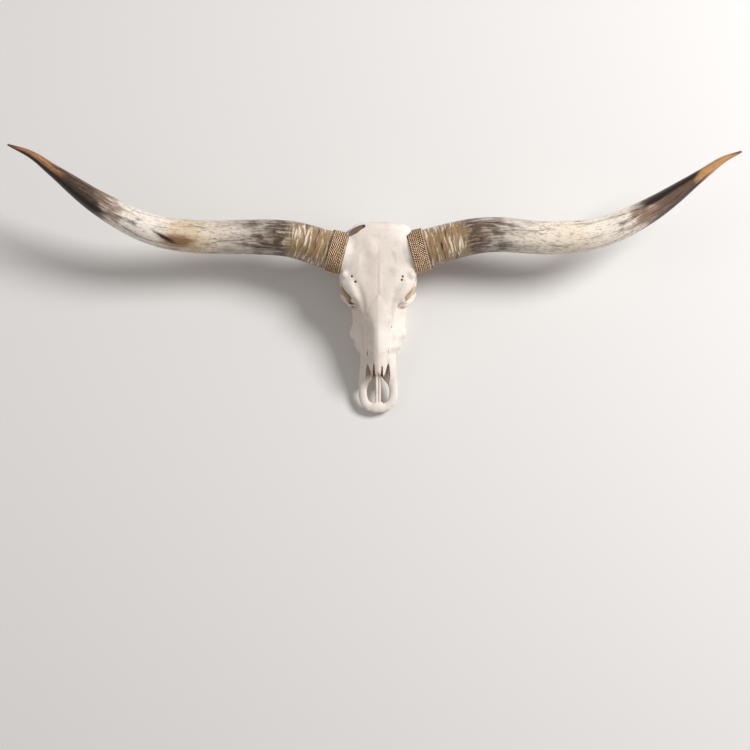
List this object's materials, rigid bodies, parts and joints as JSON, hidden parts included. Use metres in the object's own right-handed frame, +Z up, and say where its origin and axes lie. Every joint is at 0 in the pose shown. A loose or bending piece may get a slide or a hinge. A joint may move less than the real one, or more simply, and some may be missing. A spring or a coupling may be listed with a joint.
{
  "type": "longhorn skull",
  "caption": "Dry longhorn skull with long swept horns, cord-bound at their roots, lying face up on its cheek teeth and the processes of its occiput.",
  "frame": {"origin": "under the middle of the outline, on the floor that the teeth and the occiput stand on", "axes": "+X along the span of the horns to the animal's left, +Y from the muzzle to the poll, +Z up out of the forehead"},
  "size_m": [1.939, 0.6752, 0.2969],
  "materials": {
    "bone": "dry cleaned bone, matt, off-white",
    "horn": "keratin sheath, semi-gloss, cream to dark brown",
    "cord": "twisted plant-fibre cord, matt, light tan"
  },
  "bodies": {
    "root": {"cranium": "bone", "maxilla_left": "bone", "premaxilla_left": "bone", "nasal_left": "bone", "zygomatic_left": "bone", "maxilla_right": "bone", "premaxilla_right": "bone", "nasal_right": "bone", "zygomatic_right": "bone", "horn_left": "horn", "cord_binding_left": "cord", "horn_right": "horn", "cord_binding_right": "cord"}
  },
  "joints": []
}
